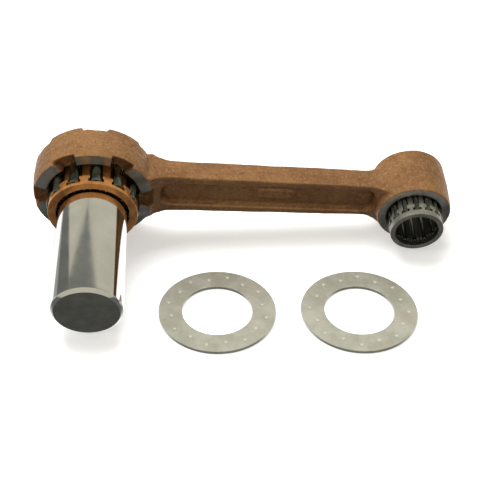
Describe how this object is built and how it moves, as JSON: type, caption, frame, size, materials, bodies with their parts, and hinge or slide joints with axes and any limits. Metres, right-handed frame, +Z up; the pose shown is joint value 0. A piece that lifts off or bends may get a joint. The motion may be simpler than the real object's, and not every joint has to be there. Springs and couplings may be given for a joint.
{
  "type": "connecting rod",
  "caption": "Two-stroke engine connecting rod kit: forged I-beam rod with caged big-end and small-end roller bearings, crankpin and thrust washers.",
  "frame": {"origin": "middle of the kit's footprint, on the bench", "axes": "+X along the rod from its big end to its small end, +Z up from the bench, -Y the way the crankpin is drawn out"},
  "size_m": [0.1378, 0.0728, 0.0405],
  "materials": {
    "copper_plated_forging": "copper-plated steel forging, sand-textured, dull",
    "polished_steel": "ground and polished crankpin steel",
    "copper_plated_cage": "copper-plated machined steel cage, satin",
    "bearing_steel": "hardened machined steel, satin grey",
    "roller_steel": "ground bearing rollers",
    "washer_steel": "tumbled hardened steel with dimples"
  },
  "bodies": {
    "crank_pin": {"crank_pin": "polished_steel"},
    "connecting_rod": {"connecting_rod": "copper_plated_forging"},
    "big_end_cage": {"big_end_cage": "copper_plated_cage"},
    "small_end_cage": {"small_end_cage": "bearing_steel"},
    "thrust_washer_1": {"thrust_washer_1": "washer_steel"},
    "thrust_washer_2": {"thrust_washer_2": "washer_steel"},
    "big_roller_01": {"big_roller_01": "roller_steel"},
    "big_roller_02": {"big_roller_02": "roller_steel"},
    "big_roller_03": {"big_roller_03": "roller_steel"},
    "big_roller_04": {"big_roller_04": "roller_steel"},
    "big_roller_05": {"big_roller_05": "roller_steel"},
    "big_roller_06": {"big_roller_06": "roller_steel"},
    "big_roller_07": {"big_roller_07": "roller_steel"},
    "big_roller_08": {"big_roller_08": "roller_steel"},
    "big_roller_09": {"big_roller_09": "roller_steel"},
    "big_roller_10": {"big_roller_10": "roller_steel"},
    "big_roller_11": {"big_roller_11": "roller_steel"},
    "big_roller_12": {"big_roller_12": "roller_steel"},
    "small_needle_01": {"small_needle_01": "roller_steel"},
    "small_needle_02": {"small_needle_02": "roller_steel"},
    "small_needle_03": {"small_needle_03": "roller_steel"},
    "small_needle_04": {"small_needle_04": "roller_steel"},
    "small_needle_05": {"small_needle_05": "roller_steel"},
    "small_needle_06": {"small_needle_06": "roller_steel"},
    "small_needle_07": {"small_needle_07": "roller_steel"},
    "small_needle_08": {"small_needle_08": "roller_steel"},
    "small_needle_09": {"small_needle_09": "roller_steel"},
    "small_needle_10": {"small_needle_10": "roller_steel"},
    "small_needle_11": {"small_needle_11": "roller_steel"},
    "small_needle_12": {"small_needle_12": "roller_steel"},
    "small_needle_13": {"small_needle_13": "roller_steel"},
    "small_needle_14": {"small_needle_14": "roller_steel"}
  },
  "joints": [
    {"name": "rod_swing", "type": "hinge", "parent": "crank_pin", "child": "connecting_rod", "pos_m": [-0.0492, 0.02416, 0.02025], "axis": [0, -0.9837, -0.1797], "continuous": true},
    {"name": "big_cage_slide", "type": "slide", "parent": "connecting_rod", "child": "big_end_cage", "axis": [0, 0.9837, 0.1797], "range_m": [0, 0.0057]},
    {"name": "small_cage_slide", "type": "slide", "parent": "connecting_rod", "child": "small_end_cage", "axis": [0, 0.9837, 0.1797], "range_m": [0, 0.008]},
    {"name": "big_roller_01_spin", "type": "hinge", "parent": "big_end_cage", "child": "big_roller_01", "pos_m": [-0.04735, 0.0162, 0.03187], "axis": [0, -0.9837, -0.1797], "continuous": true},
    {"name": "big_roller_02_spin", "type": "hinge", "parent": "big_end_cage", "child": "big_roller_02", "pos_m": [-0.05403, 0.01635, 0.03109], "axis": [0, -0.9837, -0.1797], "continuous": true},
    {"name": "big_roller_03_spin", "type": "hinge", "parent": "big_end_cage", "child": "big_roller_03", "pos_m": [-0.05942, 0.01707, 0.02712], "axis": [0, -0.9837, -0.1797], "continuous": true},
    {"name": "big_roller_04_spin", "type": "hinge", "parent": "big_end_cage", "child": "big_roller_04", "pos_m": [-0.06207, 0.01818, 0.02104], "axis": [0, -0.9837, -0.1797], "continuous": true},
    {"name": "big_roller_05_spin", "type": "hinge", "parent": "big_end_cage", "child": "big_roller_05", "pos_m": [-0.06128, 0.01938, 0.01447], "axis": [0, -0.9837, -0.1797], "continuous": true},
    {"name": "big_roller_06_spin", "type": "hinge", "parent": "big_end_cage", "child": "big_roller_06", "pos_m": [-0.05724, 0.02035, 0.00917], "axis": [0, -0.9837, -0.1797], "continuous": true},
    {"name": "big_roller_07_spin", "type": "hinge", "parent": "big_end_cage", "child": "big_roller_07", "pos_m": [-0.05106, 0.02083, 0.00656], "axis": [0, -0.9837, -0.1797], "continuous": true},
    {"name": "big_roller_08_spin", "type": "hinge", "parent": "big_end_cage", "child": "big_roller_08", "pos_m": [-0.04438, 0.02068, 0.00734], "axis": [0, -0.9837, -0.1797], "continuous": true},
    {"name": "big_roller_09_spin", "type": "hinge", "parent": "big_end_cage", "child": "big_roller_09", "pos_m": [-0.03899, 0.01996, 0.01131], "axis": [0, -0.9837, -0.1797], "continuous": true},
    {"name": "big_roller_10_spin", "type": "hinge", "parent": "big_end_cage", "child": "big_roller_10", "pos_m": [-0.03634, 0.01885, 0.01739], "axis": [0, -0.9837, -0.1797], "continuous": true},
    {"name": "big_roller_11_spin", "type": "hinge", "parent": "big_end_cage", "child": "big_roller_11", "pos_m": [-0.03713, 0.01765, 0.02396], "axis": [0, -0.9837, -0.1797], "continuous": true},
    {"name": "big_roller_12_spin", "type": "hinge", "parent": "big_end_cage", "child": "big_roller_12", "pos_m": [-0.04116, 0.01668, 0.02926], "axis": [0, -0.9837, -0.1797], "continuous": true},
    {"name": "small_needle_01_spin", "type": "hinge", "parent": "small_end_cage", "child": "small_needle_01", "pos_m": [0.05577, 0.0158, 0.01985], "axis": [0, -0.9837, -0.1797], "continuous": true},
    {"name": "small_needle_02_spin", "type": "hinge", "parent": "small_end_cage", "child": "small_needle_02", "pos_m": [0.05238, 0.01599, 0.01877], "axis": [0, -0.9837, -0.1797], "continuous": true},
    {"name": "small_needle_03_spin", "type": "hinge", "parent": "small_end_cage", "child": "small_needle_03", "pos_m": [0.0498, 0.01644, 0.01636], "axis": [0, -0.9837, -0.1797], "continuous": true},
    {"name": "small_needle_04_spin", "type": "hinge", "parent": "small_end_cage", "child": "small_needle_04", "pos_m": [0.04855, 0.01703, 0.01308], "axis": [0, -0.9837, -0.1797], "continuous": true},
    {"name": "small_needle_05_spin", "type": "hinge", "parent": "small_end_cage", "child": "small_needle_05", "pos_m": [0.04886, 0.01767, 0.00959], "axis": [0, -0.9837, -0.1797], "continuous": true},
    {"name": "small_needle_06_spin", "type": "hinge", "parent": "small_end_cage", "child": "small_needle_06", "pos_m": [0.05069, 0.01822, 0.00658], "axis": [0, -0.9837, -0.1797], "continuous": true},
    {"name": "small_needle_07_spin", "type": "hinge", "parent": "small_end_cage", "child": "small_needle_07", "pos_m": [0.05366, 0.01857, 0.00465], "axis": [0, -0.9837, -0.1797], "continuous": true},
    {"name": "small_needle_08_spin", "type": "hinge", "parent": "small_end_cage", "child": "small_needle_08", "pos_m": [0.05718, 0.01866, 0.00417], "axis": [0, -0.9837, -0.1797], "continuous": true},
    {"name": "small_needle_09_spin", "type": "hinge", "parent": "small_end_cage", "child": "small_needle_09", "pos_m": [0.06057, 0.01846, 0.00526], "axis": [0, -0.9837, -0.1797], "continuous": true},
    {"name": "small_needle_10_spin", "type": "hinge", "parent": "small_end_cage", "child": "small_needle_10", "pos_m": [0.06315, 0.01802, 0.00767], "axis": [0, -0.9837, -0.1797], "continuous": true},
    {"name": "small_needle_11_spin", "type": "hinge", "parent": "small_end_cage", "child": "small_needle_11", "pos_m": [0.0644, 0.01742, 0.01095], "axis": [0, -0.9837, -0.1797], "continuous": true},
    {"name": "small_needle_12_spin", "type": "hinge", "parent": "small_end_cage", "child": "small_needle_12", "pos_m": [0.06409, 0.01679, 0.01444], "axis": [0, -0.9837, -0.1797], "continuous": true},
    {"name": "small_needle_13_spin", "type": "hinge", "parent": "small_end_cage", "child": "small_needle_13", "pos_m": [0.06226, 0.01623, 0.01745], "axis": [0, -0.9837, -0.1797], "continuous": true},
    {"name": "small_needle_14_spin", "type": "hinge", "parent": "small_end_cage", "child": "small_needle_14", "pos_m": [0.05929, 0.01588, 0.01938], "axis": [0, -0.9837, -0.1797], "continuous": true},
    {"name": "thrust_washer_1_lift", "type": "slide", "parent": "crank_pin", "child": "thrust_washer_1", "axis": [0, 0, 1], "range_m": [0, 0.03]},
    {"name": "thrust_washer_2_lift", "type": "slide", "parent": "crank_pin", "child": "thrust_washer_2", "axis": [0, 0, 1], "range_m": [0, 0.03]}
  ],
  "couplings": [
    {"joint": "big_roller_01_spin", "follows": "rod_swing", "ratio": 5.5},
    {"joint": "big_roller_02_spin", "follows": "rod_swing", "ratio": 5.5},
    {"joint": "big_roller_03_spin", "follows": "rod_swing", "ratio": 5.5},
    {"joint": "big_roller_04_spin", "follows": "rod_swing", "ratio": 5.5},
    {"joint": "big_roller_05_spin", "follows": "rod_swing", "ratio": 5.5},
    {"joint": "big_roller_06_spin", "follows": "rod_swing", "ratio": 5.5},
    {"joint": "big_roller_07_spin", "follows": "rod_swing", "ratio": 5.5},
    {"joint": "big_roller_08_spin", "follows": "rod_swing", "ratio": 5.5},
    {"joint": "big_roller_09_spin", "follows": "rod_swing", "ratio": 5.5},
    {"joint": "big_roller_10_spin", "follows": "rod_swing", "ratio": 5.5},
    {"joint": "big_roller_11_spin", "follows": "rod_swing", "ratio": 5.5},
    {"joint": "big_roller_12_spin", "follows": "rod_swing", "ratio": 5.5},
    {"joint": "small_needle_02_spin", "follows": "small_needle_01_spin", "ratio": 1},
    {"joint": "small_needle_03_spin", "follows": "small_needle_01_spin", "ratio": 1},
    {"joint": "small_needle_04_spin", "follows": "small_needle_01_spin", "ratio": 1},
    {"joint": "small_needle_05_spin", "follows": "small_needle_01_spin", "ratio": 1},
    {"joint": "small_needle_06_spin", "follows": "small_needle_01_spin", "ratio": 1},
    {"joint": "small_needle_07_spin", "follows": "small_needle_01_spin", "ratio": 1},
    {"joint": "small_needle_08_spin", "follows": "small_needle_01_spin", "ratio": 1},
    {"joint": "small_needle_09_spin", "follows": "small_needle_01_spin", "ratio": 1},
    {"joint": "small_needle_10_spin", "follows": "small_needle_01_spin", "ratio": 1},
    {"joint": "small_needle_11_spin", "follows": "small_needle_01_spin", "ratio": 1},
    {"joint": "small_needle_12_spin", "follows": "small_needle_01_spin", "ratio": 1},
    {"joint": "small_needle_13_spin", "follows": "small_needle_01_spin", "ratio": 1},
    {"joint": "small_needle_14_spin", "follows": "small_needle_01_spin", "ratio": 1}
  ]
}
